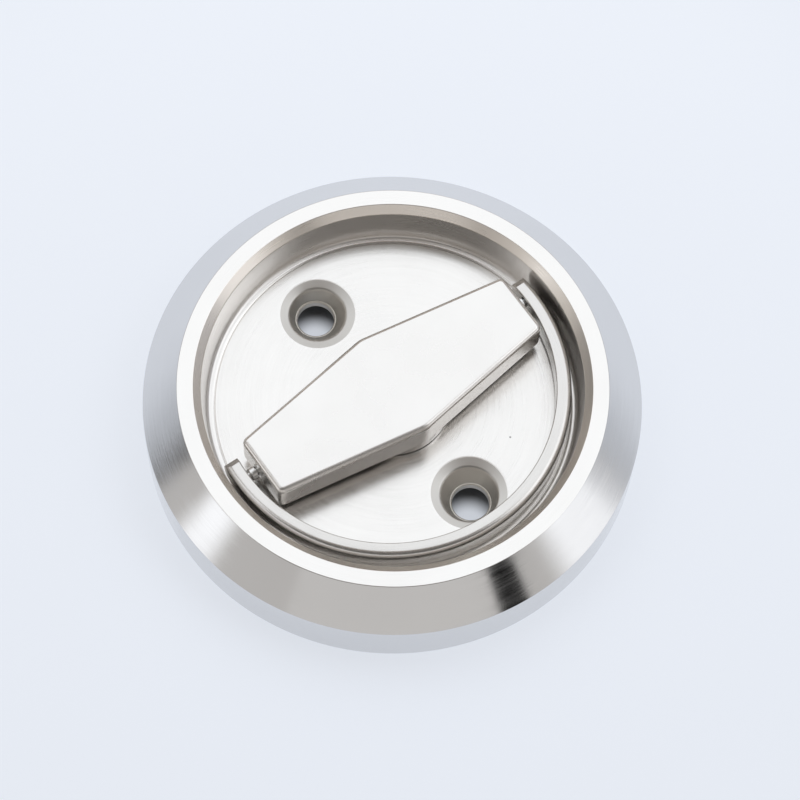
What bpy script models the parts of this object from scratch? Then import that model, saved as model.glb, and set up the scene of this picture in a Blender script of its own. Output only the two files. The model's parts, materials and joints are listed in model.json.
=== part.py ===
"""Round flush pull latch: a turned cup for the face of a door, a turning centre bar and a lift-up ring.

The cup's back face lies at z = 0 and its axis is Z, which points out of the door. The two fixing
screws sit on the Y axis. The centre bar turns about Z and lies near the X axis. The pull ring hangs
on two pins in the ends of the bar and lies in the half of the recess towards -Y. All sizes are in
metres.
"""
import math

import bmesh
import bpy
from mathutils import Matrix, Vector

# Clearance between pieces that touch or run on each other, and how far a cutter passes the faces it cuts
GAP = 0.0003
OVERCUT = 0.0020

# Flange and lip of the cup
OUTER_RADIUS = 0.0425
BEVEL_WIDTH = 0.0061
BEVEL_DROP = 0.0065
LIP_WIDTH = 0.0027
RIM_WIDTH = 0.0085
BACK_EDGE_ROUND = 0.0004
BAND_EDGE_ROUND = 0.0003
LIP_EDGE_ROUND = 0.0002

# Recess of the cup
RECESS_DEPTH = 0.0083
LIP_CHAMFER_WIDTH = 0.0013
LIP_CHAMFER_DEPTH = 0.0013
WALL_TAPER = 0.0007
WALL_EDGE_ROUND = 0.0004
FOOT_ROUND = 0.0008
GROOVE_FOOT_DISTANCE = 0.0002
GROOVE_WIDTH = 0.0005
GROOVE_DEPTH = 0.00015
BACK_HOLLOW_ROUND = 0.0008

# Screw holes in the floor
SCREW_PITCH = 0.0420
SCREW_BORE_RADIUS = 0.0032
SCREW_BORE_CHAMFER = 0.0002
SCREW_BORE_SHIFT = 0.0006
SCREW_SEAT_WIDTH = 0.0003
SCREW_SEAT_THICKNESS = 0.0015
SINK_DEPTH = 0.0031
SINK_FLARE = 0.0014
SINK_BAND_WIDTH = 0.0018
SINK_BAND_DEPTH = 0.0004
SINK_EDGE_ROUND = 0.0020
SINK_KNEE_ROUND = 0.0008

# Centre bar
REST_TURN = math.radians(-3.1)
BAR_END_GAP = 0.0017
BAR_END_WIDTH = 0.0117
BAR_MIDDLE_WIDTH = 0.0201
BAR_FLOOR_GAP = 0.0017
BAR_CORNER_ROUND = 0.0012
BAR_MIDDLE_ROUND = 0.0050
BAR_EDGE_ROUND = 0.0010

# Shaft under the bar, with its spindle socket and clip groove
SPINDLE_SIZE = 0.0081
SOCKET_DEPTH = 0.0095
SOCKET_WALL = 0.0014
CLIP_SEAT_DEPTH = 0.0009
BOSS_STEP = 0.0018
SHAFT_END_HEIGHT = 0.0004
SHAFT_END_LAND = 0.0008
SHAFT_END_CHAMFER = 0.0003

# Washer and clip that hold the shaft in the cup
WASHER_THICKNESS = 0.0005
WASHER_OVERHANG = 0.0022
CLIP_THICKNESS = 0.0008
CLIP_WIDTH = 0.0024
CLIP_MOUTH_ANGLE = math.radians(50.0)
CLIP_LUG_RADIUS = 0.0017
CLIP_LUG_HOLE_RADIUS = 0.00075

# Pull ring
RING_WALL_GAP = 0.0005
RING_FLOOR_GAP = 0.0005
RING_WIDTH = 0.0026
RING_THICKNESS = 0.0045
RING_EYE_DEPTH = 0.0017
PIVOT_OFFSET = 0.0014
PIVOT_DEPTH = 0.0014
RING_INNER_ROUND = 0.00025
RING_TOP_ROUND = 0.0008
RING_BOTTOM_ROUND = 0.0012
TAIL_LENGTH = 0.0036
TAIL_BEVEL_LENGTH = 0.0011
TAIL_BEVEL_DROP = 0.00095
TAIL_HEEL_ANGLE = math.radians(-10.0)
TAIL_FLOOR_GAP = 0.0002

# Pivot pins
PIN_RADIUS = 0.0006
PIN_COLLAR_STEP = 0.00055
PIN_ROOT_DEPTH = 0.0060
PIN_END_CHAMFER = 0.0002

# Facets of round forms
CUP_STEPS = 96
RING_STEPS = 128
SHAFT_STEPS = 48
HOLE_STEPS = 36
PIN_STEPS = 20
TAIL_STEPS = 8
ARC_STEPS = 2

# Radii that follow, from the rim inwards to the bar
LIP_OUTER_RADIUS = OUTER_RADIUS - BEVEL_WIDTH
LIP_INNER_RADIUS = LIP_OUTER_RADIUS - LIP_WIDTH
WALL_TOP_RADIUS = LIP_INNER_RADIUS - LIP_CHAMFER_WIDTH
WALL_FOOT_RADIUS = WALL_TOP_RADIUS - WALL_TAPER
GROOVE_OUTER_RADIUS = WALL_FOOT_RADIUS - FOOT_ROUND - GROOVE_FOOT_DISTANCE
BACK_HOLLOW_RADIUS = OUTER_RADIUS - RIM_WIDTH
RING_OUTER_RADIUS = WALL_FOOT_RADIUS - RING_WALL_GAP
RING_INNER_RADIUS = RING_OUTER_RADIUS - RING_WIDTH
BAR_HALF_LENGTH = RING_INNER_RADIUS - BAR_END_GAP

# Radii that follow, from the spindle outwards to the washer
CLIP_GROOVE_RADIUS = SPINDLE_SIZE / math.sqrt(2) + SOCKET_WALL
SHAFT_RADIUS = CLIP_GROOVE_RADIUS + CLIP_SEAT_DEPTH
BOSS_RADIUS = SHAFT_RADIUS + BOSS_STEP
CUP_BORE_RADIUS = SHAFT_RADIUS + GAP
CLIP_INNER_RADIUS = CLIP_GROOVE_RADIUS + GAP
CLIP_RADIUS = CLIP_INNER_RADIUS + CLIP_WIDTH
WASHER_RADIUS = CLIP_RADIUS + WASHER_OVERHANG
PIN_BORE_RADIUS = PIN_RADIUS + GAP
PIN_COLLAR_RADIUS = PIN_RADIUS + PIN_COLLAR_STEP

# Heights that follow, from the back face upwards
CLIP_BOTTOM = SHAFT_END_HEIGHT + SHAFT_END_LAND + GAP
CLIP_TOP = CLIP_BOTTOM + CLIP_THICKNESS
WASHER_BOTTOM = CLIP_TOP + GAP
WASHER_TOP = WASHER_BOTTOM + WASHER_THICKNESS
BACK_OF_FLOOR = WASHER_TOP + GAP
SCREW_SEAT_HEIGHT = BACK_OF_FLOOR + SCREW_SEAT_THICKNESS
FLOOR_HEIGHT = SCREW_SEAT_HEIGHT + SINK_DEPTH
CUP_HEIGHT = FLOOR_HEIGHT + RECESS_DEPTH
BAND_HEIGHT = CUP_HEIGHT - BEVEL_DROP
BAR_BOTTOM = FLOOR_HEIGHT + BAR_FLOOR_GAP
BAR_TOP = CUP_HEIGHT
PIVOT_HEIGHT = FLOOR_HEIGHT + RING_FLOOR_GAP + RING_THICKNESS - PIVOT_DEPTH
TAIL_RADIUS = PIVOT_HEIGHT - FLOOR_HEIGHT - TAIL_FLOOR_GAP

STEEL = (0.78, 0.77, 0.75)
SHADOWED_STEEL = (0.62, 0.61, 0.59)
SPRING_STEEL = (0.22, 0.21, 0.20)


def clear_scene():
    for item in list(bpy.data.objects):
        bpy.data.objects.remove(item, do_unlink=True)


def new_collection(name):
    collection = bpy.data.collections.new(name)
    bpy.context.scene.collection.children.link(collection)
    return collection


def metal(name, colour, roughness):
    material = bpy.data.materials.new(name)
    material.use_nodes = True
    shader = material.node_tree.nodes["Principled BSDF"]
    shader.inputs["Base Color"].default_value = (*colour, 1.0)
    shader.inputs["Metallic"].default_value = 1.0
    shader.inputs["Roughness"].default_value = roughness
    material.diffuse_color = (*colour, 1.0)
    return material


def corner_arc(before, corner, after, radius, steps):
    """Gives the points of the arc that rounds one corner of an outline."""
    towards_before = (before - corner).normalized()
    towards_after = (after - corner).normalized()
    half_angle = towards_before.angle(towards_after) / 2
    tangent = radius / math.tan(half_angle)
    centre = corner + (towards_before + towards_after).normalized() * (radius / math.sin(half_angle))
    start = corner + towards_before * tangent - centre
    end = corner + towards_after * tangent - centre
    turn = start.angle_signed(end)
    return [centre + Matrix.Rotation(-turn * i / steps, 2) @ start for i in range(steps + 1)]


def rounded_outline(corners, steps=ARC_STEPS):
    """Turns corners given as (across, up, radius) into the points of a closed outline."""
    points = []
    for i, (across, up, radius) in enumerate(corners):
        corner = Vector((across, up))
        if radius == 0.0:
            points.append(corner)
            continue
        before = Vector(corners[i - 1][:2])
        after = Vector(corners[(i + 1) % len(corners)][:2])
        points.extend(corner_arc(before, corner, after, radius, steps))
    return points


def turned(name, outline, steps, collection):
    """Turns an outline of (radius, height) points about Z; it runs down on its outer side."""
    mesh = bpy.data.meshes.new(name)
    verts = [(point.x, 0.0, point.y) for point in outline]
    edges = [(i, (i + 1) % len(verts)) for i in range(len(verts))]
    open_at_axis = outline[0].x == 0.0 and outline[-1].x == 0.0
    if open_at_axis:
        edges.pop()
    mesh.from_pydata(verts, edges, [])
    item = bpy.data.objects.new(name, mesh)
    collection.objects.link(item)
    screw = item.modifiers.new("Turn", "SCREW")
    screw.axis = "Z"
    screw.angle = math.tau
    screw.steps = steps
    screw.render_steps = steps
    screw.use_merge_vertices = True
    screw.merge_threshold = 0.00001
    screw.use_smooth_shade = True
    if open_at_axis:
        weld = item.modifiers.new("Close the axis", "WELD")
        weld.merge_threshold = 0.00001
    return item


def stacked_rings(name, rings, steps, collection):
    """Joins round rings, given as (radius, height, shift along Y) from the top down, into a closed solid."""
    verts = []
    for radius, height, shift in rings:
        for i in range(steps):
            angle = math.tau * i / steps
            verts.append((radius * math.cos(angle), shift + radius * math.sin(angle), height))
    last_ring = len(verts) - steps
    faces = [tuple(range(steps)), tuple(reversed(range(last_ring, len(verts))))]
    for start in range(0, last_ring, steps):
        for i in range(steps):
            after = (i + 1) % steps
            faces.append((start + i, start + steps + i, start + steps + after, start + after))
    mesh = bpy.data.meshes.new(name)
    mesh.from_pydata(verts, [], faces)
    item = bpy.data.objects.new(name, mesh)
    collection.objects.link(item)
    return item


def plate(name, outline, thickness, collection):
    """Makes a flat outline into a solid plate that is centred on its own XY plane."""
    curve = bpy.data.curves.new(name, "CURVE")
    curve.dimensions = "2D"
    curve.fill_mode = "BOTH"
    curve.extrude = thickness / 2
    spline = curve.splines.new("POLY")
    spline.points.add(len(outline) - 1)
    for point, place in zip(spline.points, outline):
        point.co = (place.x, place.y, 0.0, 1.0)
    spline.use_cyclic_u = True
    guide = bpy.data.objects.new(name + "_curve", curve)
    collection.objects.link(guide)
    bpy.context.view_layer.update()
    evaluated = guide.evaluated_get(bpy.context.evaluated_depsgraph_get())
    mesh = bpy.data.meshes.new_from_object(evaluated)
    mesh.name = name
    mesh.transform(guide.matrix_world)
    bpy.data.objects.remove(guide, do_unlink=True)
    bpy.data.curves.remove(curve)
    work = bmesh.new()
    work.from_mesh(mesh)
    bmesh.ops.remove_doubles(work, verts=work.verts, dist=0.00001)
    bmesh.ops.dissolve_limit(work, angle_limit=math.radians(0.05), verts=work.verts, edges=work.edges)
    bmesh.ops.recalc_face_normals(work, faces=work.faces)
    work.to_mesh(mesh)
    work.free()
    item = bpy.data.objects.new(name, mesh)
    collection.objects.link(item)
    return item


def block(name, size, place, collection):
    mesh = bpy.data.meshes.new(name)
    work = bmesh.new()
    bmesh.ops.create_cube(work, size=1.0)
    bmesh.ops.scale(work, vec=Vector(size), verts=work.verts)
    work.to_mesh(mesh)
    work.free()
    item = bpy.data.objects.new(name, mesh)
    item.location = place
    collection.objects.link(item)
    return item


def rod(name, radius, length, place, steps, collection, along_x=False):
    """Makes a plain round bar about Z, or about X, centred on a place."""
    mesh = bpy.data.meshes.new(name)
    work = bmesh.new()
    bmesh.ops.create_cone(
        work, cap_ends=True, segments=steps, radius1=radius, radius2=radius, depth=length
    )
    if along_x:
        bmesh.ops.rotate(work, matrix=Matrix.Rotation(math.pi / 2, 3, "Y"), verts=work.verts)
    work.to_mesh(mesh)
    work.free()
    item = bpy.data.objects.new(name, mesh)
    item.location = place
    collection.objects.link(item)
    return item


def combine(item, other, operation):
    """Cuts, joins or crosses an object with a helper, which stays hidden."""
    other.display_type = "WIRE"
    other.hide_render = True
    boolean = item.modifiers.new(operation.title() + " " + other.name, "BOOLEAN")
    boolean.operation = operation
    boolean.solver = "EXACT"
    boolean.object = other


def round_edges(item, width, angle, segments=2):
    bevel = item.modifiers.new("Rounded edges", "BEVEL")
    bevel.width = width
    bevel.segments = segments
    bevel.limit_method = "ANGLE"
    bevel.angle_limit = angle


def finish(item, material):
    """Gives an object its metal and even shading on its flats and rounds."""
    item.data.materials.append(material)
    item.modifiers.new("Even shading", "WEIGHTED_NORMAL")


def make_cup_body(parts, cutters):
    """The one-piece cup: bevelled flange, flat lip, tapered recess, floor with screw holes, hollow back."""
    outline = rounded_outline([
        (LIP_OUTER_RADIUS, CUP_HEIGHT, LIP_EDGE_ROUND),
        (OUTER_RADIUS, BAND_HEIGHT, BAND_EDGE_ROUND),
        (OUTER_RADIUS, 0.0, BACK_EDGE_ROUND),
        (BACK_HOLLOW_RADIUS, 0.0, 0.0),
        (BACK_HOLLOW_RADIUS, BACK_OF_FLOOR, BACK_HOLLOW_ROUND),
        (CUP_BORE_RADIUS, BACK_OF_FLOOR, 0.0),
        (CUP_BORE_RADIUS, FLOOR_HEIGHT, 0.0),
        (GROOVE_OUTER_RADIUS - GROOVE_WIDTH, FLOOR_HEIGHT, 0.0),
        (GROOVE_OUTER_RADIUS - GROOVE_WIDTH / 2, FLOOR_HEIGHT - GROOVE_DEPTH, 0.0),
        (GROOVE_OUTER_RADIUS, FLOOR_HEIGHT, 0.0),
        (WALL_FOOT_RADIUS, FLOOR_HEIGHT, FOOT_ROUND),
        (WALL_TOP_RADIUS, CUP_HEIGHT - LIP_CHAMFER_DEPTH, WALL_EDGE_ROUND),
        (LIP_INNER_RADIUS, CUP_HEIGHT, LIP_EDGE_ROUND),
    ])
    cup = turned("cup_body", outline, CUP_STEPS, parts)
    for side, name in ((1, "screw_hole_upper"), (-1, "screw_hole_lower")):
        hole = stacked_rings(name, screw_hole_rings(side), HOLE_STEPS, cutters)
        hole.location.y = side * SCREW_PITCH / 2
        combine(cup, hole, "DIFFERENCE")
    return cup


def screw_hole_rings(side):
    """The rings of one screw hole: shallow dished band, steep cone that leans outwards, seat and bore."""
    foot = Vector((SCREW_BORE_RADIUS + SCREW_SEAT_WIDTH, SCREW_SEAT_HEIGHT))
    knee = Vector((foot.x + SINK_FLARE, FLOOR_HEIGHT - SINK_BAND_DEPTH))
    mouth = Vector((knee.x + SINK_BAND_WIDTH, FLOOR_HEIGHT))
    slope = math.atan2(SINK_BAND_DEPTH, SINK_BAND_WIDTH)
    beside = mouth + Vector((SINK_EDGE_ROUND * math.tan(slope / 2), 0.0))
    edge = corner_arc(beside + Vector((OVERCUT, 0.0)), mouth, knee, SINK_EDGE_ROUND, ARC_STEPS)
    outline = [
        Vector((beside.x, FLOOR_HEIGHT + OVERCUT)),
        *edge,
        *corner_arc(mouth, knee, foot, SINK_KNEE_ROUND, ARC_STEPS),
        foot,
        Vector((SCREW_BORE_RADIUS + SCREW_BORE_CHAMFER, SCREW_SEAT_HEIGHT)),
        Vector((SCREW_BORE_RADIUS, SCREW_SEAT_HEIGHT - SCREW_BORE_CHAMFER)),
        Vector((SCREW_BORE_RADIUS, BACK_OF_FLOOR - OVERCUT)),
    ]
    rings = []
    for radius, height in outline:
        depth = min(max(FLOOR_HEIGHT - height, 0.0), SINK_DEPTH)
        rings.append((radius, height, side * SCREW_BORE_SHIFT * depth / SINK_DEPTH))
    return rings


def bar_outline():
    """The bar seen from above: a long hexagon, wide in the middle and narrow at its ends."""
    narrow = BAR_END_WIDTH / 2
    wide = BAR_MIDDLE_WIDTH / 2
    half = [
        (BAR_HALF_LENGTH, narrow, BAR_CORNER_ROUND),
        (0.0, wide, BAR_MIDDLE_ROUND),
        (-BAR_HALF_LENGTH, narrow, BAR_CORNER_ROUND),
    ]
    other_half = [(-across, -up, radius) for across, up, radius in half]
    return rounded_outline(half + other_half)


def shaft_outline():
    """The boss under the bar and the shaft through the cup, with the groove of the clip."""
    inside_bar = BAR_BOTTOM + BAR_EDGE_ROUND + GAP
    groove_top = CLIP_TOP + GAP
    groove_bottom = CLIP_BOTTOM - GAP
    return [Vector(place) for place in (
        (0.0, inside_bar),
        (BOSS_RADIUS, inside_bar),
        (BOSS_RADIUS, FLOOR_HEIGHT + GAP),
        (SHAFT_RADIUS, FLOOR_HEIGHT + GAP),
        (SHAFT_RADIUS, groove_top),
        (CLIP_GROOVE_RADIUS, groove_top),
        (CLIP_GROOVE_RADIUS, groove_bottom),
        (SHAFT_RADIUS, groove_bottom),
        (SHAFT_RADIUS, SHAFT_END_HEIGHT + SHAFT_END_CHAMFER),
        (SHAFT_RADIUS - SHAFT_END_CHAMFER, SHAFT_END_HEIGHT),
        (0.0, SHAFT_END_HEIGHT),
    )]


def make_turn_bar(parts, cutters):
    """The solid bar with its shaft: a socket for a square spindle in the back and a pin hole in each end."""
    bar = plate("turn_bar", bar_outline(), BAR_TOP - BAR_BOTTOM, parts)
    bar.data.transform(Matrix.Translation((0.0, 0.0, (BAR_TOP + BAR_BOTTOM) / 2)))
    round_edges(bar, BAR_EDGE_ROUND, math.radians(60.0))
    shaft = turned("shaft", shaft_outline(), SHAFT_STEPS, cutters)
    combine(bar, shaft, "UNION")
    # The socket and the pin holes are cut with solids whose middle lies on the face that they enter.
    socket_size = (SPINDLE_SIZE, SPINDLE_SIZE, 2 * SOCKET_DEPTH)
    socket = block("spindle_socket", socket_size, (0.0, 0.0, SHAFT_END_HEIGHT), cutters)
    combine(bar, socket, "DIFFERENCE")
    hole_length = 2 * (PIN_ROOT_DEPTH + GAP)
    for side, name in ((1, "pin_hole_right"), (-1, "pin_hole_left")):
        place = (side * BAR_HALF_LENGTH, PIVOT_OFFSET, PIVOT_HEIGHT)
        hole = rod(name, PIN_BORE_RADIUS, hole_length, place, PIN_STEPS, cutters, along_x=True)
        combine(bar, hole, "DIFFERENCE")
    return bar


def make_pull_ring(parts, cutters):
    """The half ring, about its pivot: a turned ring crossed with its side view, and drilled for the pins."""
    bottom = PIVOT_DEPTH - RING_THICKNESS
    section = rounded_outline([
        (RING_OUTER_RADIUS, PIVOT_DEPTH, RING_TOP_ROUND),
        (RING_OUTER_RADIUS, bottom, RING_BOTTOM_ROUND),
        (RING_INNER_RADIUS, bottom, RING_INNER_ROUND),
        (RING_INNER_RADIUS, PIVOT_DEPTH, RING_INNER_ROUND),
    ])
    ring = turned("pull_ring", section, RING_STEPS, parts)
    across = 2 * (RING_OUTER_RADIUS + OVERCUT)
    side_view = plate("ring_side_view", ring_side_outline(), across, cutters)
    side_view.data.transform(Matrix.Rotation(math.pi / 2, 4, "Z") @ Matrix.Rotation(math.pi / 2, 4, "X"))
    combine(ring, side_view, "INTERSECT")
    for side, name in ((1, "ring_eye_right"), (-1, "ring_eye_left")):
        place = (side * RING_INNER_RADIUS, 0.0, 0.0)
        eye = rod(name, PIN_BORE_RADIUS, 2 * RING_EYE_DEPTH, place, PIN_STEPS, cutters, along_x=True)
        combine(ring, eye, "DIFFERENCE")
    return ring


def ring_side_outline():
    """The ring from the side, about its pivot: a long flat band that ends in a short tail.

    The tail is bevelled on top and rounded about the pivot below, so that it clears the floor. The corner
    at the bevel's end is the heel: it would meet the floor when the ring stands upright.
    """
    bottom = PIVOT_DEPTH - RING_THICKNESS
    far = -(RING_OUTER_RADIUS + OVERCUT)
    under = bottom - OVERCUT
    over = PIVOT_DEPTH + OVERCUT
    bevel_start = TAIL_LENGTH - TAIL_BEVEL_LENGTH
    foot = math.asin(bottom / TAIL_RADIUS)
    tail = []
    for i in range(TAIL_STEPS + 1):
        angle = foot + (TAIL_HEEL_ANGLE - foot) * i / TAIL_STEPS
        tail.append(Vector((TAIL_RADIUS * math.cos(angle), TAIL_RADIUS * math.sin(angle))))
    return [
        Vector((far, under)), Vector((tail[0].x, under)), *tail,
        Vector((TAIL_LENGTH, PIVOT_DEPTH - TAIL_BEVEL_DROP)),
        Vector((bevel_start, PIVOT_DEPTH)), Vector((bevel_start, over)), Vector((far, over)),
    ]


def make_pivot_pin(name, parts):
    """A stepped pin about its own Z: root in the bar, collar in the gap and end in the ring's eye."""
    root = BAR_HALF_LENGTH - PIN_ROOT_DEPTH
    collar_start = BAR_HALF_LENGTH + GAP
    collar_end = RING_INNER_RADIUS - GAP
    tip = RING_INNER_RADIUS + RING_EYE_DEPTH - GAP
    outline = [Vector(place) for place in (
        (0.0, tip),
        (PIN_RADIUS - PIN_END_CHAMFER, tip),
        (PIN_RADIUS, tip - PIN_END_CHAMFER),
        (PIN_RADIUS, collar_end),
        (PIN_COLLAR_RADIUS - PIN_END_CHAMFER, collar_end),
        (PIN_COLLAR_RADIUS, collar_end - PIN_END_CHAMFER),
        (PIN_COLLAR_RADIUS, collar_start),
        (PIN_RADIUS, collar_start),
        (PIN_RADIUS, root),
        (0.0, root),
    )]
    return turned(name, outline, PIN_STEPS, parts)


def make_washer(parts):
    outline = [Vector(place) for place in (
        (WASHER_RADIUS, WASHER_TOP),
        (WASHER_RADIUS, WASHER_BOTTOM),
        (CUP_BORE_RADIUS, WASHER_BOTTOM),
        (CUP_BORE_RADIUS, WASHER_TOP),
    )]
    return turned("shaft_washer", outline, SHAFT_STEPS, parts)


def make_retaining_clip(parts, cutters):
    """A snap ring in the shaft's groove, open at its mouth, with a drilled lug on each side of the mouth."""
    middle = (CLIP_TOP + CLIP_BOTTOM) / 2
    outline = [Vector(place) for place in (
        (CLIP_RADIUS, CLIP_TOP),
        (CLIP_RADIUS, CLIP_BOTTOM),
        (CLIP_INNER_RADIUS, CLIP_BOTTOM),
        (CLIP_INNER_RADIUS, CLIP_TOP),
    )]
    clip = turned("retaining_clip", outline, SHAFT_STEPS, parts)
    far = CLIP_RADIUS + OVERCUT
    half_mouth = far * math.tan(CLIP_MOUTH_ANGLE / 2)
    mouth_corners = [Vector((0.0, 0.0)), Vector((far, -half_mouth)), Vector((far, half_mouth))]
    cut_height = CLIP_THICKNESS + 2 * OVERCUT
    mouth = plate("clip_mouth", mouth_corners, cut_height, cutters)
    mouth.location.z = middle
    combine(clip, mouth, "DIFFERENCE")
    lug_distance = SHAFT_RADIUS + GAP + CLIP_LUG_RADIUS
    for side, name in ((1, "far"), (-1, "near")):
        angle = side * (CLIP_MOUTH_ANGLE / 2 + CLIP_LUG_RADIUS / lug_distance)
        place = (lug_distance * math.cos(angle), lug_distance * math.sin(angle), middle)
        lug = rod("clip_lug_" + name, CLIP_LUG_RADIUS, CLIP_THICKNESS, place, PIN_STEPS, cutters)
        combine(clip, lug, "UNION")
        hole = rod("clip_lug_hole_" + name, CLIP_LUG_HOLE_RADIUS, cut_height, place, PIN_STEPS, cutters)
        combine(clip, hole, "DIFFERENCE")
    return clip


def empty(name, place, collection):
    item = bpy.data.objects.new(name, None)
    item.empty_display_size = OUTER_RADIUS / 4
    item.location = place
    collection.objects.link(item)
    return item


def hang(item, axis):
    """Puts an object on an axis, together with the helpers that shape it."""
    item.parent = axis
    for modifier in item.modifiers:
        if modifier.type == "BOOLEAN":
            modifier.object.parent = axis


def build():
    clear_scene()
    parts = new_collection("flush_pull_latch")
    cutters = new_collection("cutters")

    turn_axis = empty("turn_axis", (0.0, 0.0, 0.0), parts)
    lift_axis = empty("lift_axis", (0.0, PIVOT_OFFSET, PIVOT_HEIGHT), parts)
    lift_axis.parent = turn_axis

    cup = make_cup_body(parts, cutters)
    finish(cup, metal("cup_steel", STEEL, 0.25))

    bar = make_turn_bar(parts, cutters)
    hang(bar, turn_axis)
    finish(bar, metal("bar_steel", STEEL, 0.30))

    ring = make_pull_ring(parts, cutters)
    hang(ring, lift_axis)
    finish(ring, metal("ring_steel", STEEL, 0.30))

    for side, name in ((-1, "left"), (1, "right")):
        pin = make_pivot_pin("pivot_pin_" + name, parts)
        pin.location = (0.0, PIVOT_OFFSET, PIVOT_HEIGHT)
        pin.rotation_euler.y = side * math.pi / 2
        hang(pin, turn_axis)
        finish(pin, metal("pin_steel_" + name, SHADOWED_STEEL, 0.35))

    finish(make_washer(parts), metal("washer_steel", SHADOWED_STEEL, 0.40))

    clip = make_retaining_clip(parts, cutters)
    hang(clip, turn_axis)
    finish(clip, metal("clip_steel", SPRING_STEEL, 0.45))

    turn_axis.rotation_euler.z = REST_TURN


build()
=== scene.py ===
"""Looks of the round flush pull latch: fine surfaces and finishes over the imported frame, and a studio.

Everything is in metres in the frame's own axes: the cup's axis is Z and its back face lies at z = 0. The
camera and the lights are laid out as the camera sees them, with X to the right and Y away, and are then
turned into those axes.
"""
import json
import math

import bmesh
import bpy
from mathutils import Matrix, Vector


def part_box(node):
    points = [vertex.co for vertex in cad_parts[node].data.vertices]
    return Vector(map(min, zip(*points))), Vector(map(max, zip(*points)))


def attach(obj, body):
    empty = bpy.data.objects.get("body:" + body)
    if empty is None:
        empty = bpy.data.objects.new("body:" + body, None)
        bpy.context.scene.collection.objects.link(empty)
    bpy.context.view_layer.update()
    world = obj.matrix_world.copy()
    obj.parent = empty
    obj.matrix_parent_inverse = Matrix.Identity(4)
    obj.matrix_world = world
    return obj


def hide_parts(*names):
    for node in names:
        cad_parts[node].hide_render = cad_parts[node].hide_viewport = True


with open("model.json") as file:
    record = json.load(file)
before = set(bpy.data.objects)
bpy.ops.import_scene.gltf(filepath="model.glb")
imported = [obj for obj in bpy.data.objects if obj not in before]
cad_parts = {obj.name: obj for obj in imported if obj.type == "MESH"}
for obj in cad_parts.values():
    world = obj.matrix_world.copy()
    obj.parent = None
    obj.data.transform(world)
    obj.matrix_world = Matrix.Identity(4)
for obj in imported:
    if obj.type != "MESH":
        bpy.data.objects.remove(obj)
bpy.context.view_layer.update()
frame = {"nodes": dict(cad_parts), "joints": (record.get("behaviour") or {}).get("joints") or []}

MM = 0.001
MICRON = MM / 1000

# Sizes that come from the frame
CUP_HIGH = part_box("cup_body")[1]
OUTER_RADIUS = CUP_HIGH.x
CUP_HEIGHT = CUP_HIGH.z
JOINTS = {joint["name"]: joint for joint in frame["joints"]}
PIVOT = Vector(JOINTS["ring_lift"]["pos_m"])
LIFT_AXIS = Vector(JOINTS["ring_lift"]["axis"])
REST_TURN = math.atan2(-LIFT_AXIS.y, -LIFT_AXIS.x)
RING_LOW, RING_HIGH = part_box("pull_ring")
RING_TOP = RING_HIGH.z - PIVOT.z
RING_BOTTOM = RING_LOW.z - PIVOT.z
BAR_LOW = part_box("turn_bar")[0]
CLIP_LOW, CLIP_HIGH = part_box("retaining_clip")

# Cup
GAP = 0.3 * MM
OVERCUT = 2.0 * MM
BEVEL_WIDTH = 6.1 * MM
BEVEL_DROP = 6.5 * MM
LIP_WIDTH = 2.7 * MM
RIM_WIDTH = 8.5 * MM
BACK_EDGE_ROUND = 0.4 * MM
BAND_EDGE_ROUND = 0.3 * MM
LIP_EDGE_ROUND = 0.2 * MM
RECESS_DEPTH = 8.3 * MM
FLOOR_THICKNESS = 4.6 * MM
LIP_CHAMFER_WIDTH = 1.3 * MM
LIP_CHAMFER_DEPTH = 1.3 * MM
WALL_TAPER = 0.7 * MM
WALL_EDGE_ROUND = 0.4 * MM
FOOT_ROUND = 0.8 * MM
GROOVE_FOOT_DISTANCE = 0.2 * MM
GROOVE_WIDTH = 0.5 * MM
GROOVE_DEPTH = 0.15 * MM
BACK_HOLLOW_ROUND = 0.8 * MM

# Screw holes
SCREW_PITCH = 42.0 * MM
SCREW_BORE_RADIUS = 3.2 * MM
SCREW_BORE_CHAMFER = 0.2 * MM
SCREW_BORE_SHIFT = 0.6 * MM
SCREW_SEAT_WIDTH = 0.3 * MM
SCREW_SEAT_THICKNESS = 1.5 * MM
SINK_DEPTH = 3.1 * MM
SINK_FLARE = 1.4 * MM
SINK_BAND_WIDTH = 1.8 * MM
SINK_BAND_DEPTH = 0.4 * MM
SINK_EDGE_ROUND = 2.0 * MM
SINK_KNEE_ROUND = 0.8 * MM

# Bar
BAR_END_WIDTH = 11.7 * MM
BAR_MIDDLE_WIDTH = 20.1 * MM
BAR_FLOOR_GAP = 1.7 * MM
BAR_CORNER_ROUND = 1.2 * MM
BAR_MIDDLE_ROUND = 5.0 * MM
BAR_EDGE_ROUND = 1.0 * MM
BAR_END_GAP = 1.7 * MM

# Shaft under the bar
SPINDLE_SIZE = 8.1 * MM
SOCKET_DEPTH = 9.5 * MM
SOCKET_WALL = 1.4 * MM
CLIP_SEAT_DEPTH = 0.9 * MM
BOSS_STEP = 1.8 * MM
SHAFT_END_CHAMFER = 0.3 * MM

# Ring and pins; the ring's top edge is rounded by 0.4 mm more than in the frame, for its gloss
RING_WALL_GAP = 0.5 * MM
RING_WIDTH = 2.6 * MM
RING_INNER_ROUND = 0.25 * MM
RING_TOP_ROUND = 1.2 * MM
RING_BOTTOM_ROUND = 1.2 * MM
RING_EYE_DEPTH = 1.7 * MM
TAIL_LENGTH = 3.6 * MM
TAIL_BEVEL_LENGTH = 1.1 * MM
TAIL_BEVEL_DROP = 0.95 * MM
TAIL_HEEL_ANGLE = math.radians(-10.0)
TAIL_FLOOR_GAP = 0.2 * MM
PIN_RADIUS = 0.6 * MM
PIN_COLLAR_STEP = 0.55 * MM
PIN_ROOT_DEPTH = 6.0 * MM
PIN_END_CHAMFER = 0.2 * MM

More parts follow.
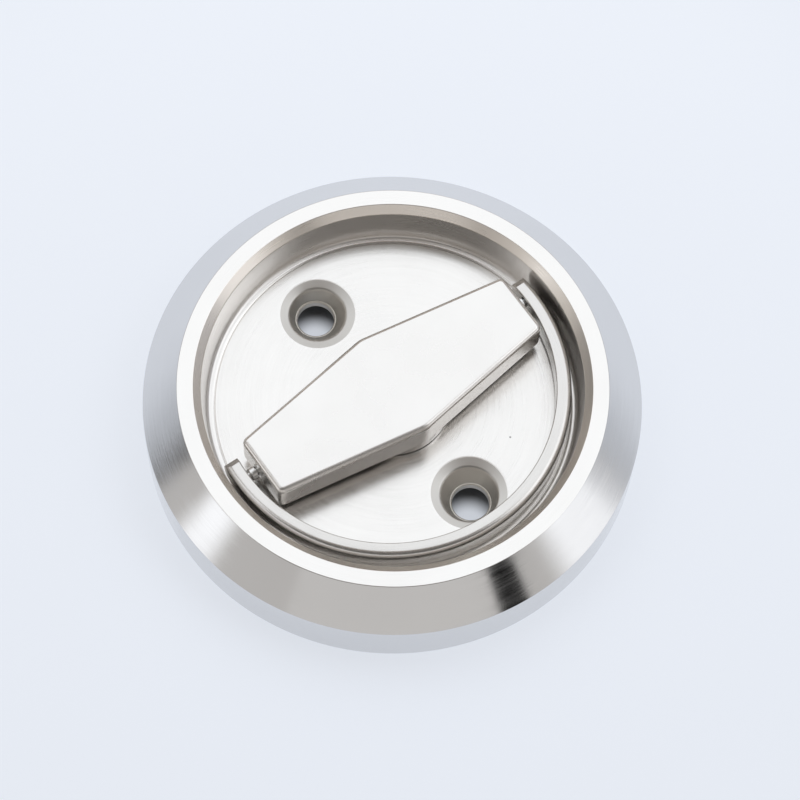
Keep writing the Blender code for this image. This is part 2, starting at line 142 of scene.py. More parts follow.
# Facets of the fine meshes, and how they are joined, rounded and shaded
CUP_STEPS = 288
RING_STEPS = 288
HOLE_STEPS = 96
SHAFT_STEPS = 96
PIN_STEPS = 40
ARC_STEPS = 6
TAIL_STEPS = 8
MERGE_DISTANCE = 0.001 * MM
BAR_EDGE_ANGLE = math.radians(60.0)
SHARP_ANGLE = math.radians(32.0)

# Radii and heights that follow
LIP_OUTER_RADIUS = OUTER_RADIUS - BEVEL_WIDTH
LIP_INNER_RADIUS = LIP_OUTER_RADIUS - LIP_WIDTH
WALL_TOP_RADIUS = LIP_INNER_RADIUS - LIP_CHAMFER_WIDTH
WALL_FOOT_RADIUS = WALL_TOP_RADIUS - WALL_TAPER
GROOVE_OUTER_RADIUS = WALL_FOOT_RADIUS - FOOT_ROUND - GROOVE_FOOT_DISTANCE
GROOVE_MIDDLE_RADIUS = GROOVE_OUTER_RADIUS - GROOVE_WIDTH / 2
GROOVE_INNER_RADIUS = GROOVE_OUTER_RADIUS - GROOVE_WIDTH
GROOVE_ROUND = GROOVE_WIDTH / 8
BACK_HOLLOW_RADIUS = OUTER_RADIUS - RIM_WIDTH
BACK_HOLLOW_EDGE_ROUND = BACK_EDGE_ROUND / 2
SINK_KNEE_RADIUS = SCREW_BORE_RADIUS + SCREW_SEAT_WIDTH + SINK_FLARE
SINK_RADIUS = SINK_KNEE_RADIUS + SINK_BAND_WIDTH
RING_OUTER_RADIUS = WALL_FOOT_RADIUS - RING_WALL_GAP
RING_INNER_RADIUS = RING_OUTER_RADIUS - RING_WIDTH
BAR_HALF_LENGTH = RING_INNER_RADIUS - BAR_END_GAP
BAND_HEIGHT = CUP_HEIGHT - BEVEL_DROP
FLOOR_HEIGHT = CUP_HEIGHT - RECESS_DEPTH
BACK_OF_FLOOR = FLOOR_HEIGHT - FLOOR_THICKNESS
SCREW_SEAT_HEIGHT = BACK_OF_FLOOR + SCREW_SEAT_THICKNESS
BAR_BOTTOM = FLOOR_HEIGHT + BAR_FLOOR_GAP
TAIL_RADIUS = PIVOT.z - FLOOR_HEIGHT - TAIL_FLOOR_GAP
CLIP_GROOVE_RADIUS = SPINDLE_SIZE / math.sqrt(2) + SOCKET_WALL
SHAFT_RADIUS = CLIP_GROOVE_RADIUS + CLIP_SEAT_DEPTH
BOSS_RADIUS = SHAFT_RADIUS + BOSS_STEP
CUP_BORE_RADIUS = SHAFT_RADIUS + GAP
PIN_BORE_RADIUS = PIN_RADIUS + GAP
PIN_COLLAR_RADIUS = PIN_RADIUS + PIN_COLLAR_STEP

# A Mix node's colour sockets, by number, because its other sockets have the same names
MIX_FIRST = 6
MIX_SECOND = 7
MIX_RESULT = 2

# Camera, as the photograph's perspective gives it
CAMERA_DISTANCE = 500.0 * MM
CAMERA_HEIGHT_ANGLE = math.radians(66.622)
CAMERA_ROLL = math.radians(2.876)
CAMERA_TARGET = Vector((1.266, 3.949, 0.0)) * MM
CAMERA_SENSOR = 36.0
CAMERA_LENS = 129.35
STUDIO_TURN = math.radians(-40.7)

# Colours
STEEL = (0.835, 0.815, 0.79)
BEVEL_STEEL = (0.725, 0.725, 0.73)
LIP_STEEL = (0.83, 0.81, 0.785)
CHAMFER_STEEL = (0.93, 0.88, 0.82)
RING_STEEL = (0.72, 0.70, 0.675)
WARM_STEEL = (0.70, 0.68, 0.65)
# The two screw sink colours are darker than the floor's steel: painted shade in these recesses, darkest on
# the band
SINK_BAND_PAINTED_SHADE = (0.59, 0.57, 0.54)
SINK_CONE_PAINTED_SHADE = (0.73, 0.70, 0.65)
PIN_STEEL = (0.86, 0.86, 0.85)
SPRING_STEEL = (0.16, 0.15, 0.15)
SPECK_COLOUR = (0.05, 0.05, 0.05)
TABLE = (0.30, 0.315, 0.34)
TABLE_LIGHT = (0.82, 0.86, 0.93)

# Finishes: colour, roughness and its unevenness, and the turned lines' pitch, change round Z and height
FINISHES = {
    "turned_bevel": (BEVEL_STEEL, 0.13, 0.03, (0.25 * MM, 3.0, 5.5 * MICRON)),
    "turned_lip": (LIP_STEEL, 0.16, 0.03, (0.20 * MM, 4.0, 1.5 * MICRON)),
    "satin_floor": (STEEL, 0.24, 0.03, (0.30 * MM, 2.0, 0.9 * MICRON)),
    # The two sink finishes carry painted shade: darker colours for the band and the cone of each screw sink
    "dished_sink_painted_shade": (SINK_BAND_PAINTED_SHADE, 0.34, 0.02, None),
    "turned_sink_painted_shade": (SINK_CONE_PAINTED_SHADE, 0.50, 0.02, None),
    "turned_back": (WARM_STEEL, 0.35, 0.03, (0.40 * MM, 3.0, 6.0 * MICRON)),
    "turned_wall": (LIP_STEEL, 0.30, 0.03, (0.20 * MM, 4.0, 1.5 * MICRON)),
    "turned_chamfer": (CHAMFER_STEEL, 0.30, 0.03, (0.20 * MM, 4.0, 1.5 * MICRON)),
    "satin_bar": (STEEL, 0.27, 0.03, None),
    "brushed_ring": (RING_STEEL, 0.24, 0.03, (0.25 * MM, 5.0, 3.0 * MICRON)),
    "turned_pin": (PIN_STEEL, 0.30, 0.03, None),
    "plain_washer": (WARM_STEEL, 0.35, 0.03, None),
    "spring_clip": (SPRING_STEEL, 0.35, 0.03, None),
}
CUP_FINISHES = (
    "turned_bevel", "turned_lip", "satin_floor", "dished_sink_painted_shade", "turned_sink_painted_shade", "turned_back", "turned_wall",
    "turned_chamfer",
)
ZONE_TOLERANCE = 0.05 * MM

# Clouds in the steel's polish and tint, the contrast of its lines, and one speck on the recess floor
CLOUD_SCALE = 60.0
CLOUD_DETAIL = 4.0
CLOUD_LOW = 0.3
CLOUD_HIGH = 0.7
CLOUD_SHADE = 0.96
LINES_DETAIL = 3.0
LINES_LOW = 0.35
LINES_HIGH = 0.65
NOISE_ROUGHNESS = 0.6
SPECK_FINISH = "satin_floor"
SPECK_PLACE = Vector((11.9, -17.3, 8.0)) * MM
SPECK_RADIUS = 0.25 * MM

# Table, and its glow: a field outside the cup that falls off far out, and a painted pool of light below each
# bore
TABLE_SIZE = 3.0
TABLE_DROP = 0.05 * MM
TABLE_ROUGHNESS = 0.6
TABLE_GLOSS = 0.2
TABLE_GLOW = 0.735
TABLE_GLOW_SLOPE = 0.4
TABLE_FALL_START = 90.0 * MM
TABLE_FALL_END = 260.0 * MM
TABLE_FALL = 0.60
# Painted pools of light below the bores: strength, radius, soft edge and shift towards the camera
PAINTED_BORE_LIGHT = 0.60
BORE_GLOW_RADIUS = 3.8 * MM
BORE_GLOW_EDGE = 1.8 * MM
BORE_GLOW_SHIFT = 2.1 * MM

# Studio walls, whose colour changes between two heights, given as the sine of the angle above the table
WALL_LIGHT = (0.62, 0.60, 0.58)
HIGH_LIGHT = (0.26, 0.22, 0.19)
HIGH_LIGHT_START = 0.2
HIGH_LIGHT_END = 0.8

# Cards on the walls: azimuth (0 is right and 90 away from the camera), height, half width, half height and
# soft edge, all in degrees, and colour
CARDS = (
    (90.0, 55.0, 75.0, 26.0, 6.0, (1.175, 1.21, 1.25)),
    (90.0, 19.0, 62.0, 13.0, 6.0, (0.34, 0.28, 0.24)),
    (-87.0, 58.0, 63.0, 17.0, 3.0, (0.15, 0.145, 0.14)),
    (5.0, 50.0, 27.0, 16.0, 5.0, (1.45, 1.48, 1.52)),
    (-166.0, 57.0, 12.0, 14.0, 5.0, (1.25, 1.27, 1.30)),
    (-156.0, 9.0, 6.5, 13.0, 4.0, (1.36, 1.37, 1.39)),
    (-13.0, 8.0, 15.0, 15.0, 6.0, (1.27, 1.28, 1.30)),
    (-86.0, 14.0, 35.0, 9.0, 1.0, (0.70, 0.68, 0.66)),
    (-86.0, 27.0, 35.0, 5.0, 2.0, (0.63, 0.61, 0.60)),
    (-46.5, 14.0, 5.0, 14.0, 1.0, (0.01, 0.01, 0.01)),
    (-126.0, 27.0, 3.5, 7.0, 2.0, (0.08, 0.07, 0.06)),
    (26.0, 18.0, 30.0, 16.0, 4.0, (0.44, 0.44, 0.46)),
    (166.0, 7.0, 18.0, 9.0, 4.0, (0.15, 0.148, 0.145)),
)


def corner_arc(before, corner, after, radius):
    """Gives the points of the arc that rounds one corner of an outline."""
    towards_before = (before - corner).normalized()
    towards_after = (after - corner).normalized()
    half_angle = towards_before.angle(towards_after) / 2
    tangent = radius / math.tan(half_angle)
    centre = corner + (towards_before + towards_after).normalized() * (radius / math.sin(half_angle))
    start = corner + towards_before * tangent - centre
    end = corner + towards_after * tangent - centre
    turn = start.angle_signed(end)
    return [centre + Matrix.Rotation(-turn * i / ARC_STEPS, 2) @ start for i in range(ARC_STEPS + 1)]


def rounded_outline(corners):
    """Turns corners given as (across, up, radius) into the points of a closed outline."""
    points = []
    for i, (across, up, radius) in enumerate(corners):
        corner = Vector((across, up))
        if radius == 0.0:
            points.append(corner)
            continue
        before = Vector(corners[i - 1][:2])
        after = Vector(corners[(i + 1) % len(corners)][:2])
        points.extend(corner_arc(before, corner, after, radius))
    return points


def new_object(name, data):
    """Puts a new object into the scene."""
    item = bpy.data.objects.new(name, data)
    bpy.context.scene.collection.objects.link(item)
    return item


def settle(item):
    """Applies an object's modifiers and its place, so that its mesh holds the final shape."""
    bpy.context.view_layer.update()
    evaluated = item.evaluated_get(bpy.context.evaluated_depsgraph_get())
    mesh = bpy.data.meshes.new_from_object(evaluated)
    mesh.transform(item.matrix_world)
    old = item.data
    item.modifiers.clear()
    item.data = mesh
    item.matrix_world = Matrix.Identity(4)
    if old.users == 0:
        bpy.data.meshes.remove(old)
    return item


def turned(name, outline, steps):
    """Turns an outline of (radius, height) points about Z; it runs down on its outer side."""
    mesh = bpy.data.meshes.new(name)
    verts = [(point[0], 0.0, point[1]) for point in outline]
    edges = [(i, (i + 1) % len(verts)) for i in range(len(verts))]
    open_at_axis = outline[0][0] == 0.0 and outline[-1][0] == 0.0
    if open_at_axis:
        edges.pop()
    mesh.from_pydata(verts, edges, [])
    item = new_object(name, mesh)
    screw = item.modifiers.new("Turn", "SCREW")
    screw.angle = math.tau
    screw.steps = steps
    screw.render_steps = steps
    screw.use_merge_vertices = True
    screw.merge_threshold = MERGE_DISTANCE
    if open_at_axis:
        weld = item.modifiers.new("Close the axis", "WELD")
        weld.merge_threshold = MERGE_DISTANCE
    return settle(item)


def stacked_rings(name, rings, steps):
    """Joins round rings, given as (radius, height, shift along Y) from the top down, into a closed solid."""
    verts = []
    for radius, height, shift in rings:
        for i in range(steps):
            angle = math.tau * i / steps
            verts.append((radius * math.cos(angle), shift + radius * math.sin(angle), height))
    last_ring = len(verts) - steps
    faces = [tuple(range(steps)), tuple(reversed(range(last_ring, len(verts))))]
    for start in range(0, last_ring, steps):
        for i in range(steps):
            after = (i + 1) % steps
            faces.append((start + i, start + steps + i, start + steps + after, start + after))
    mesh = bpy.data.meshes.new(name)
    mesh.from_pydata(verts, [], faces)
    return new_object(name, mesh)


def plate(name, outline, low, high):
    """Makes a flat outline into a solid plate between two heights."""
    mesh = bpy.data.meshes.new(name)
    work = bmesh.new()
    base = work.faces.new([work.verts.new((point[0], point[1], low)) for point in outline])
    grown = bmesh.ops.extrude_face_region(work, geom=[base])
    top = [item for item in grown["geom"] if isinstance(item, bmesh.types.BMVert)]
    bmesh.ops.translate(work, verts=top, vec=(0.0, 0.0, high - low))
    bmesh.ops.recalc_face_normals(work, faces=work.faces)
    work.to_mesh(mesh)
    work.free()
    return new_object(name, mesh)


def combine(item, helper, operation):
    """Cuts, joins or crosses an object with a helper, which is then thrown away."""
    boolean = item.modifiers.new(operation.title(), "BOOLEAN")
    boolean.operation = operation
    boolean.solver = "EXACT"
    boolean.object = helper
    settle(item)
    bpy.data.objects.remove(helper, do_unlink=True)


def round_edges(item, width, angle):
    """Rounds the edges at which an object's faces turn by more than an angle."""
    bevel = item.modifiers.new("Rounded edges", "BEVEL")
    bevel.width = width
    bevel.segments = ARC_STEPS
    bevel.limit_method = "ANGLE"
    bevel.angle_limit = angle
    bevel.miter_outer = "MITER_ARC"
    settle(item)


def smooth(item):
    """Shades rounds smooth and keeps flats flat."""
    item.data.shade_smooth()
    item.data.set_sharp_from_angle(angle=SHARP_ANGLE)
    normals = item.modifiers.new("Even shading", "WEIGHTED_NORMAL")
    normals.keep_sharp = True
    return item


def pin_hole(name, length, place):
    """A round cutter along X for a pin's hole, centred on a place."""
    mesh = bpy.data.meshes.new(name)
    work = bmesh.new()
    bmesh.ops.create_cone(
        work, cap_ends=True, segments=PIN_STEPS, radius1=PIN_BORE_RADIUS, radius2=PIN_BORE_RADIUS,
        depth=length,
    )
    bmesh.ops.rotate(work, matrix=Matrix.Rotation(math.pi / 2, 3, "Y"), verts=work.verts)
    work.to_mesh(mesh)
    work.free()
    item = new_object(name, mesh)
    item.location = place
    return item


def make_cup():
    """The turned cup: bevelled flange, flat lip, tapered recess with its floor, and the hollow back."""
    cup = turned("cup", rounded_outline([
        (LIP_OUTER_RADIUS, CUP_HEIGHT, LIP_EDGE_ROUND),
        (OUTER_RADIUS, BAND_HEIGHT, BAND_EDGE_ROUND),
        (OUTER_RADIUS, 0.0, BACK_EDGE_ROUND),
        (BACK_HOLLOW_RADIUS, 0.0, BACK_HOLLOW_EDGE_ROUND),
        (BACK_HOLLOW_RADIUS, BACK_OF_FLOOR, BACK_HOLLOW_ROUND),
        (CUP_BORE_RADIUS, BACK_OF_FLOOR, 0.0),
        (CUP_BORE_RADIUS, FLOOR_HEIGHT, 0.0),
        (GROOVE_INNER_RADIUS, FLOOR_HEIGHT, GROOVE_ROUND),
        (GROOVE_MIDDLE_RADIUS, FLOOR_HEIGHT - GROOVE_DEPTH, GROOVE_ROUND),
        (GROOVE_OUTER_RADIUS, FLOOR_HEIGHT, 0.0),
        (WALL_FOOT_RADIUS, FLOOR_HEIGHT, FOOT_ROUND),
        (WALL_TOP_RADIUS, CUP_HEIGHT - LIP_CHAMFER_DEPTH, WALL_EDGE_ROUND),
        (LIP_INNER_RADIUS, CUP_HEIGHT, LIP_EDGE_ROUND),
    ]), CUP_STEPS)
    for side in (1, -1):
        hole = stacked_rings("screw_hole", screw_hole_rings(side), HOLE_STEPS)
        hole.location.y = side * SCREW_PITCH / 2
        combine(cup, hole, "DIFFERENCE")
    return smooth(cup)


def screw_hole_rings(side):
    """The rings of one screw hole: shallow dished band, steep cone that leans outwards, seat and bore."""
    foot = Vector((SCREW_BORE_RADIUS + SCREW_SEAT_WIDTH, SCREW_SEAT_HEIGHT))
    knee = Vector((foot.x + SINK_FLARE, FLOOR_HEIGHT - SINK_BAND_DEPTH))
    mouth = Vector((knee.x + SINK_BAND_WIDTH, FLOOR_HEIGHT))
    slope = math.atan2(SINK_BAND_DEPTH, SINK_BAND_WIDTH)
    beside = mouth + Vector((SINK_EDGE_ROUND * math.tan(slope / 2), 0.0))
    outline = [
        Vector((beside.x, FLOOR_HEIGHT + OVERCUT)),
        *corner_arc(beside + Vector((OVERCUT, 0.0)), mouth, knee, SINK_EDGE_ROUND),
        *corner_arc(mouth, knee, foot, SINK_KNEE_ROUND),
        foot,
        Vector((SCREW_BORE_RADIUS + SCREW_BORE_CHAMFER, SCREW_SEAT_HEIGHT)),
        Vector((SCREW_BORE_RADIUS, SCREW_SEAT_HEIGHT - SCREW_BORE_CHAMFER)),
        Vector((SCREW_BORE_RADIUS, BACK_OF_FLOOR - OVERCUT)),
    ]
    rings = []
    for radius, height in outline:
        depth = min(max(FLOOR_HEIGHT - height, 0.0), SINK_DEPTH)
        rings.append((radius, height, side * SCREW_BORE_SHIFT * depth / SINK_DEPTH))
    return rings


def make_bar():
    """The solid bar: a long hexagon with rounded edges, a pin hole in each end and a shaft with a socket."""
    narrow = BAR_END_WIDTH / 2
    wide = BAR_MIDDLE_WIDTH / 2
    half = [
        (BAR_HALF_LENGTH, narrow, BAR_CORNER_ROUND),
        (0.0, wide, BAR_MIDDLE_ROUND),
        (-BAR_HALF_LENGTH, narrow, BAR_CORNER_ROUND),
    ]
    outline = rounded_outline(half + [(-across, -up, radius) for across, up, radius in half])
    bar = plate("bar", outline, BAR_BOTTOM, CUP_HEIGHT)
    round_edges(bar, BAR_EDGE_ROUND, BAR_EDGE_ANGLE)
    combine(bar, turned("shaft", shaft_outline(), SHAFT_STEPS), "UNION")
    reach = SPINDLE_SIZE / 2
    corners = [Vector((x * reach, y * reach)) for x, y in ((-1, -1), (1, -1), (1, 1), (-1, 1))]
    socket = plate("spindle_socket", corners, BAR_LOW.z - OVERCUT, BAR_LOW.z + SOCKET_DEPTH)
    combine(bar, socket, "DIFFERENCE")
    pivot = Matrix.Rotation(-REST_TURN, 3, "Z") @ PIVOT
    for side in (1, -1):
        place = (side * BAR_HALF_LENGTH, pivot.y, pivot.z)
        combine(bar, pin_hole("bar_hole", 2 * (PIN_ROOT_DEPTH + GAP), place), "DIFFERENCE")
    return smooth(bar)


def shaft_outline():
    """The boss under the bar and the shaft through the cup, with the groove of the clip."""
    inside_bar = BAR_BOTTOM + BAR_EDGE_ROUND + GAP
    groove_top = CLIP_HIGH.z + GAP
    groove_bottom = CLIP_LOW.z - GAP
    return [Vector(place) for place in (
        (0.0, inside_bar),
        (BOSS_RADIUS, inside_bar),
        (BOSS_RADIUS, FLOOR_HEIGHT + GAP),
        (SHAFT_RADIUS, FLOOR_HEIGHT + GAP),
        (SHAFT_RADIUS, groove_top),
        (CLIP_GROOVE_RADIUS, groove_top),
        (CLIP_GROOVE_RADIUS, groove_bottom),
        (SHAFT_RADIUS, groove_bottom),
        (SHAFT_RADIUS, BAR_LOW.z + SHAFT_END_CHAMFER),
        (SHAFT_RADIUS - SHAFT_END_CHAMFER, BAR_LOW.z),
        (0.0, BAR_LOW.z),
    )]


def make_ring():
    """The half ring, about its pivot: a turned ring crossed with its side view and drilled for the pins."""
    ring = turned("ring", rounded_outline([
        (RING_OUTER_RADIUS, RING_TOP, RING_TOP_ROUND),
        (RING_OUTER_RADIUS, RING_BOTTOM, RING_BOTTOM_ROUND),
        (RING_INNER_RADIUS, RING_BOTTOM, RING_INNER_ROUND),
        (RING_INNER_RADIUS, RING_TOP, RING_INNER_ROUND),
    ]), RING_STEPS)
    across = RING_OUTER_RADIUS + OVERCUT
    side_view = plate("ring_side_view", ring_side_outline(), -across, across)
    side_view.data.transform(Matrix.Rotation(math.pi / 2, 4, "Z") @ Matrix.Rotation(math.pi / 2, 4, "X"))
    combine(ring, side_view, "INTERSECT")
    for side in (1, -1):
        place = (side * RING_INNER_RADIUS, 0.0, 0.0)
        combine(ring, pin_hole("ring_eye", 2 * RING_EYE_DEPTH, place), "DIFFERENCE")
    return smooth(ring)


def ring_side_outline():
    """The ring from the side, about its pivot: a long flat band that ends in a bevelled short tail."""
    far = -(RING_OUTER_RADIUS + OVERCUT)
    under = RING_BOTTOM - OVERCUT
    over = RING_TOP + OVERCUT
    bevel_start = TAIL_LENGTH - TAIL_BEVEL_LENGTH
    foot = math.asin(RING_BOTTOM / TAIL_RADIUS)
    tail = []
    for i in range(TAIL_STEPS + 1):
        angle = foot + (TAIL_HEEL_ANGLE - foot) * i / TAIL_STEPS
        tail.append(Vector((TAIL_RADIUS * math.cos(angle), TAIL_RADIUS * math.sin(angle))))
    return [
        Vector((far, under)), Vector((tail[0].x, under)), *tail,
        Vector((TAIL_LENGTH, RING_TOP - TAIL_BEVEL_DROP)),
        Vector((bevel_start, RING_TOP)), Vector((bevel_start, over)), Vector((far, over)),
    ]


def make_pin(name):
    """A stepped pin about its own Z: root in the bar, collar in the gap and end in the ring's eye."""
    root = BAR_HALF_LENGTH - PIN_ROOT_DEPTH
    collar_start = BAR_HALF_LENGTH + GAP
    collar_end = RING_INNER_RADIUS - GAP
    tip = RING_INNER_RADIUS + RING_EYE_DEPTH - GAP
    outline = [
        (0.0, tip),
        (PIN_RADIUS - PIN_END_CHAMFER, tip),
        (PIN_RADIUS, tip - PIN_END_CHAMFER),
        (PIN_RADIUS, collar_end),
        (PIN_COLLAR_RADIUS - PIN_END_CHAMFER, collar_end),
        (PIN_COLLAR_RADIUS, collar_end - PIN_END_CHAMFER),
        (PIN_COLLAR_RADIUS, collar_start),
        (PIN_RADIUS, collar_start),
        (PIN_RADIUS, root),
        (0.0, root),
    ]
    return smooth(turned(name, outline, PIN_STEPS))


def node(tree, kind, inputs=(), **settings):
    """Adds a shader node; inputs are (socket, value or output) pairs."""
    item = tree.nodes.new(kind)
    for name, value in settings.items():
        setattr(item, name, value)
    for socket, value in inputs:
        if isinstance(value, bpy.types.NodeSocket):
            tree.links.new(value, item.inputs[socket])
        else:
            item.inputs[socket].default_value = value
    return item


def object_place(tree):
    """The shaded point's place in its object's own axes."""
    return node(tree, "ShaderNodeTexCoord").outputs["Object"]


def calculate(tree, operation, first, second=0.0):
    """A Math node's result."""
    return node(tree, "ShaderNodeMath", ((0, first), (1, second)), operation=operation).outputs[0]


def measure(tree, operation, *vectors):
    """A vector's length, or the distance between two places."""
    return node(tree, "ShaderNodeVectorMath", enumerate(vectors), operation=operation).outputs["Value"]


def split(tree, vector):
    """A vector's parts, by the names of their axes."""
    return node(tree, "ShaderNodeSeparateXYZ", ((0, vector),)).outputs


def rotated(tree, vector, angle):
    """A vector turned about Z."""
    return node(tree, "ShaderNodeVectorRotate", (
        ("Vector", vector), ("Angle", angle),
    ), rotation_type="Z_AXIS").outputs[0]


def spread(tree, value, low, high, to_low=0.0, to_high=1.0, smooth_ends=True):
    """Maps a range of values to another, held at its ends."""
    kind = "SMOOTHSTEP" if smooth_ends else "LINEAR"
    return node(tree, "ShaderNodeMapRange", (
        ("Value", value), ("From Min", low), ("From Max", high), ("To Min", to_low), ("To Max", to_high),
    ), interpolation_type=kind).outputs["Result"]


def opaque(colour):
    """A colour with full alpha."""
    return (*colour, 1.0)


def mixed(tree, factor, first, second):
    """Mixes two colours: a factor of 0 gives the first and 1 the second."""
    return node(tree, "ShaderNodeMix", (
        ("Factor", factor), (MIX_FIRST, first), (MIX_SECOND, second),
    ), data_type="RGBA").outputs[MIX_RESULT]


def turning_lines(tree, pitch, change):
    """Noise drawn out into rings about Z: pitch is the lines' spacing, and change how soon they alter."""
    axes = split(tree, object_place(tree))
    flat = node(tree, "ShaderNodeCombineXYZ", ((0, axes["X"]), (1, axes["Y"]))).outputs[0]
    radius = measure(tree, "LENGTH", flat)
    around = node(tree, "ShaderNodeVectorMath", ((0, flat),), operation="NORMALIZE").outputs["Vector"]
    turn = split(tree, around)
    vector = node(tree, "ShaderNodeCombineXYZ", (
        (0, calculate(tree, "MULTIPLY", turn["X"], change)),
        (1, calculate(tree, "MULTIPLY", turn["Y"], change)),
        (2, calculate(tree, "DIVIDE", axes["Z"], pitch)),
    )).outputs[0]
    return node(tree, "ShaderNodeTexNoise", (
        ("Vector", vector), ("W", calculate(tree, "DIVIDE", radius, pitch)),
        ("Scale", 1.0), ("Detail", LINES_DETAIL), ("Roughness", NOISE_ROUGHNESS),
    ), noise_dimensions="4D").outputs["Fac"]


def steel(name):
    """Makes one of the finishes: unevenly polished steel, with turned lines or a speck where it has them."""
    colour, roughness, unevenness, lines = FINISHES[name]
    material = bpy.data.materials.new(name)
    material.use_nodes = True
    tree = material.node_tree
    shader = tree.nodes["Principled BSDF"]
    shader.inputs["Metallic"].default_value = 1.0
    place = object_place(tree)
    clouds = node(tree, "ShaderNodeTexNoise", (
        ("Vector", place), ("Scale", CLOUD_SCALE), ("Detail", CLOUD_DETAIL), ("Roughness", NOISE_ROUGHNESS),
    )).outputs["Fac"]
    rough = spread(
        tree, clouds, CLOUD_LOW, CLOUD_HIGH, roughness - unevenness, roughness + unevenness,
        smooth_ends=False,
    )
    tint = mixed(tree, clouds, opaque(colour), opaque([CLOUD_SHADE * part for part in colour]))
    if name == SPECK_FINISH:
        away = measure(tree, "DISTANCE", place, SPECK_PLACE)
        tint = mixed(tree, spread(tree, away, SPECK_RADIUS, 0.0), tint, opaque(SPECK_COLOUR))
    tree.links.new(tint, shader.inputs["Base Color"])
    if lines:
        pitch, change, height = lines
        pattern = turning_lines(tree, pitch, change)
        streaks = spread(tree, pattern, LINES_LOW, LINES_HIGH, -unevenness, unevenness, smooth_ends=False)
        rough = calculate(tree, "ADD", rough, streaks)
        bump = node(tree, "ShaderNodeBump", (
            ("Strength", 1.0), ("Distance", height), ("Height", pattern),
        )).outputs[0]
        tree.links.new(bump, shader.inputs["Normal"])
    tree.links.new(rough, shader.inputs["Roughness"])
    return material


def cup_finish(centre):
    """Names the finish of the cup's face with this centre."""
    radius = math.hypot(centre.x, centre.y)
    from_hole = math.hypot(centre.x, abs(centre.y) - SCREW_PITCH / 2)
    if centre.z < BACK_OF_FLOOR + GAP and radius < OUTER_RADIUS - BACK_EDGE_ROUND:
        return "turned_back"
    if radius > LIP_OUTER_RADIUS:
        return "turned_bevel"
    # Painted shade: the screw sinks take the two darker sink finishes
    if from_hole < SINK_RADIUS and centre.z < FLOOR_HEIGHT - ZONE_TOLERANCE:
        return "dished_sink_painted_shade" if from_hole > SINK_KNEE_RADIUS else "turned_sink_painted_shade"
    if radius > LIP_INNER_RADIUS:
        return "turned_lip"
    if radius > WALL_TOP_RADIUS:
        return "turned_chamfer"
    if radius > GROOVE_OUTER_RADIUS + GAP:
        return "turned_wall"
    return "satin_floor"


def paint_cup(cup):
    """Gives the cup's faces the finish of their zone."""
    for name in CUP_FINISHES:
        cup.data.materials.append(steel(name))
    for face in cup.data.polygons:
        face.material_index = CUP_FINISHES.index(cup_finish(face.center))


def card(tree, direction, behind, azimuth, height, half_width, half_height, soft, colour):
    """Lays one of the cards, with its angles in degrees, over the colours behind it."""
    axes = split(tree, rotated(tree, direction, -math.radians(azimuth)))
    across = calculate(tree, "ABSOLUTE", calculate(tree, "ARCTAN2", axes["Y"], axes["X"]))
    elevation = calculate(tree, "ARCSINE", axes["Z"])
    rise = calculate(tree, "ABSOLUTE", calculate(tree, "SUBTRACT", elevation, math.radians(height)))
    edge = math.radians(soft)
    wide = math.radians(half_width)
    tall = math.radians(half_height)
    inside = calculate(
        tree, "MULTIPLY", spread(tree, across, wide + edge, wide - edge),
        spread(tree, rise, tall + edge, tall - edge),
    )
    return mixed(tree, inside, behind, opaque(colour))


def make_studio():
    """A warm grey room, darker overhead, with cards on its walls; the camera itself sees a pale backdrop."""
    world = bpy.data.worlds.new("studio")
    bpy.context.scene.world = world
    world.use_nodes = True
    tree = world.node_tree
    seen = node(tree, "ShaderNodeTexCoord").outputs["Generated"]
    direction = rotated(tree, seen, -STUDIO_TURN)
    overhead = spread(tree, split(tree, direction)["Z"], HIGH_LIGHT_START, HIGH_LIGHT_END)
    colour = mixed(tree, overhead, opaque(WALL_LIGHT), opaque(HIGH_LIGHT))
    for item in CARDS:
        colour = card(tree, direction, colour, *item)
    camera_ray = node(tree, "ShaderNodeLightPath").outputs["Is Camera Ray"]
    colour = mixed(tree, camera_ray, colour, opaque(TABLE_LIGHT))
    tree.links.new(colour, tree.nodes["Background"].inputs["Color"])


def table_glow(tree):
    """How strongly the table glows at each place."""
    place = object_place(tree)
    radius = measure(tree, "LENGTH", place)
    away = split(tree, rotated(tree, place, -STUDIO_TURN))["Y"]
    reach = OUTER_RADIUS * 2
    change = TABLE_GLOW_SLOPE * reach
    level = spread(tree, away, -reach, reach, TABLE_GLOW - change, TABLE_GLOW + change, smooth_ends=False)
    fall = spread(tree, radius, TABLE_FALL_START, TABLE_FALL_END, 1.0, TABLE_FALL)
    level = calculate(tree, "MULTIPLY", level, fall)
    glow = calculate(tree, "MULTIPLY", level, spread(tree, radius, BACK_HOLLOW_RADIUS, OUTER_RADIUS))
    # Under the cup only a painted pool of light below each bore glows, standing in for the light that falls
    # through the bore. It lies towards the camera, so what the camera sees through the bore is bright on the
    # near side.
    towards_camera = Matrix.Rotation(STUDIO_TURN, 3, "Z") @ Vector((0.0, -BORE_GLOW_SHIFT, 0.0))
    full = BORE_GLOW_RADIUS - BORE_GLOW_EDGE
    gone = BORE_GLOW_RADIUS + BORE_GLOW_EDGE
    for side in (1, -1):
        middle = Vector((0.0, side * (SCREW_PITCH / 2 + SCREW_BORE_SHIFT), 0.0)) + towards_camera
        painted_light_pool = spread(tree, measure(tree, "DISTANCE", place, middle), full, gone, PAINTED_BORE_LIGHT, 0.0)
        glow = calculate(tree, "MAXIMUM", glow, painted_light_pool)
    return glow


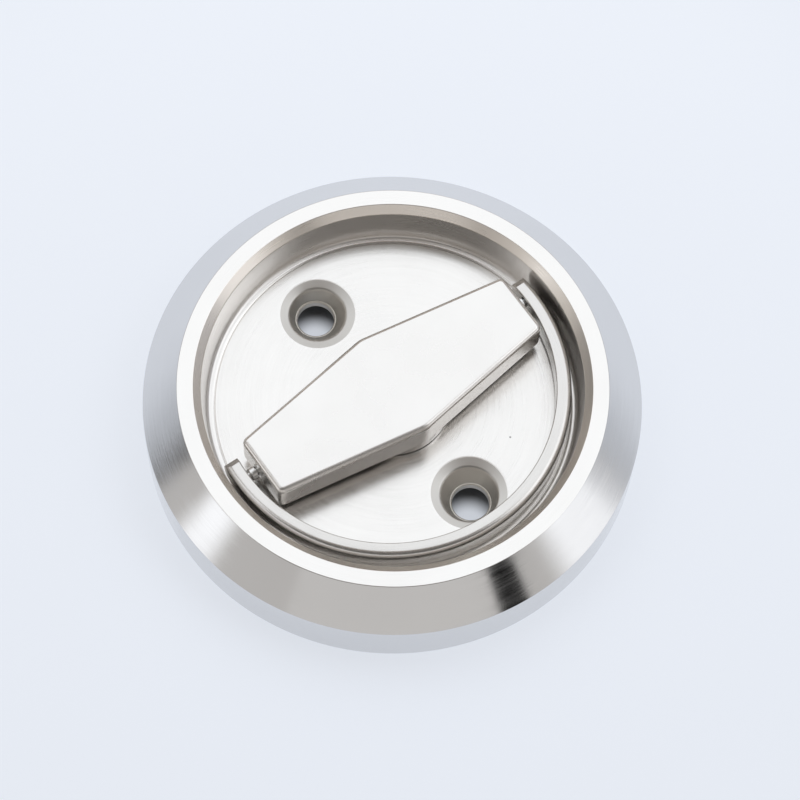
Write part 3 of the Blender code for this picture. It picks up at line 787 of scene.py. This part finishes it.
def make_table():
    """The wide pale table that the cup lies on."""
    mesh = bpy.data.meshes.new("table")
    work = bmesh.new()
    bmesh.ops.create_grid(work, x_segments=1, y_segments=1, size=TABLE_SIZE / 2)
    work.to_mesh(mesh)
    work.free()
    table = new_object("table", mesh)
    table.location.z = -TABLE_DROP
    material = bpy.data.materials.new("pale_table")
    material.use_nodes = True
    tree = material.node_tree
    shader = tree.nodes["Principled BSDF"]
    shader.inputs["Base Color"].default_value = opaque(TABLE)
    shader.inputs["Roughness"].default_value = TABLE_ROUGHNESS
    shader.inputs["Specular IOR Level"].default_value = TABLE_GLOSS
    shader.inputs["Emission Color"].default_value = opaque(TABLE_LIGHT)
    tree.links.new(table_glow(tree), shader.inputs["Emission Strength"])
    table.data.materials.append(material)


def make_camera():
    """The photograph's camera, turned into the model's frame."""
    back = Vector((0.0, -math.cos(CAMERA_HEIGHT_ANGLE), math.sin(CAMERA_HEIGHT_ANGLE)))
    right = Vector((1.0, 0.0, 0.0))
    up = back.cross(right)
    axes = Matrix((right, up, back)).transposed() @ Matrix.Rotation(CAMERA_ROLL, 3, "Z")
    turn = Matrix.Rotation(STUDIO_TURN, 4, "Z")
    place = Matrix.Translation(CAMERA_TARGET + CAMERA_DISTANCE * back)
    lens = bpy.data.cameras.new("camera")
    lens.sensor_width = CAMERA_SENSOR
    lens.lens = CAMERA_LENS
    camera = new_object("camera", lens)
    camera.matrix_world = turn @ place @ axes.to_4x4()
    bpy.context.scene.camera = camera


def main():
    """Makes the camera, the dressed pieces in their places, the studio and the table."""
    make_camera()
    turn = Matrix.Rotation(REST_TURN, 4, "Z")

    cup = make_cup()
    paint_cup(cup)
    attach(cup, "cup")
    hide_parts("cup_body")

    bar = make_bar()
    bar.data.transform(turn)
    bar.data.materials.append(steel("satin_bar"))
    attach(bar, "bar")
    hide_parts("turn_bar")

    ring = make_ring()
    ring.data.transform(Matrix.Translation(PIVOT) @ turn)
    ring.data.materials.append(steel("brushed_ring"))
    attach(ring, "ring")
    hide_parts("pull_ring")

    pin_steel = steel("turned_pin")
    for side, name in ((-1, "left"), (1, "right")):
        pin = make_pin("pin_" + name)
        lie = Matrix.Rotation(side * math.pi / 2, 4, "Y")
        pin.data.transform(Matrix.Translation(PIVOT) @ turn @ lie)
        pin.data.materials.append(pin_steel)
        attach(pin, "bar")
        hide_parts("pivot_pin_" + name)

    for name, finish in (("shaft_washer", "plain_washer"), ("retaining_clip", "spring_clip")):
        materials = frame["nodes"][name].data.materials
        materials.clear()
        materials.append(steel(finish))

    make_studio()
    make_table()
    bpy.context.scene.view_settings.view_transform = "Standard"


main()
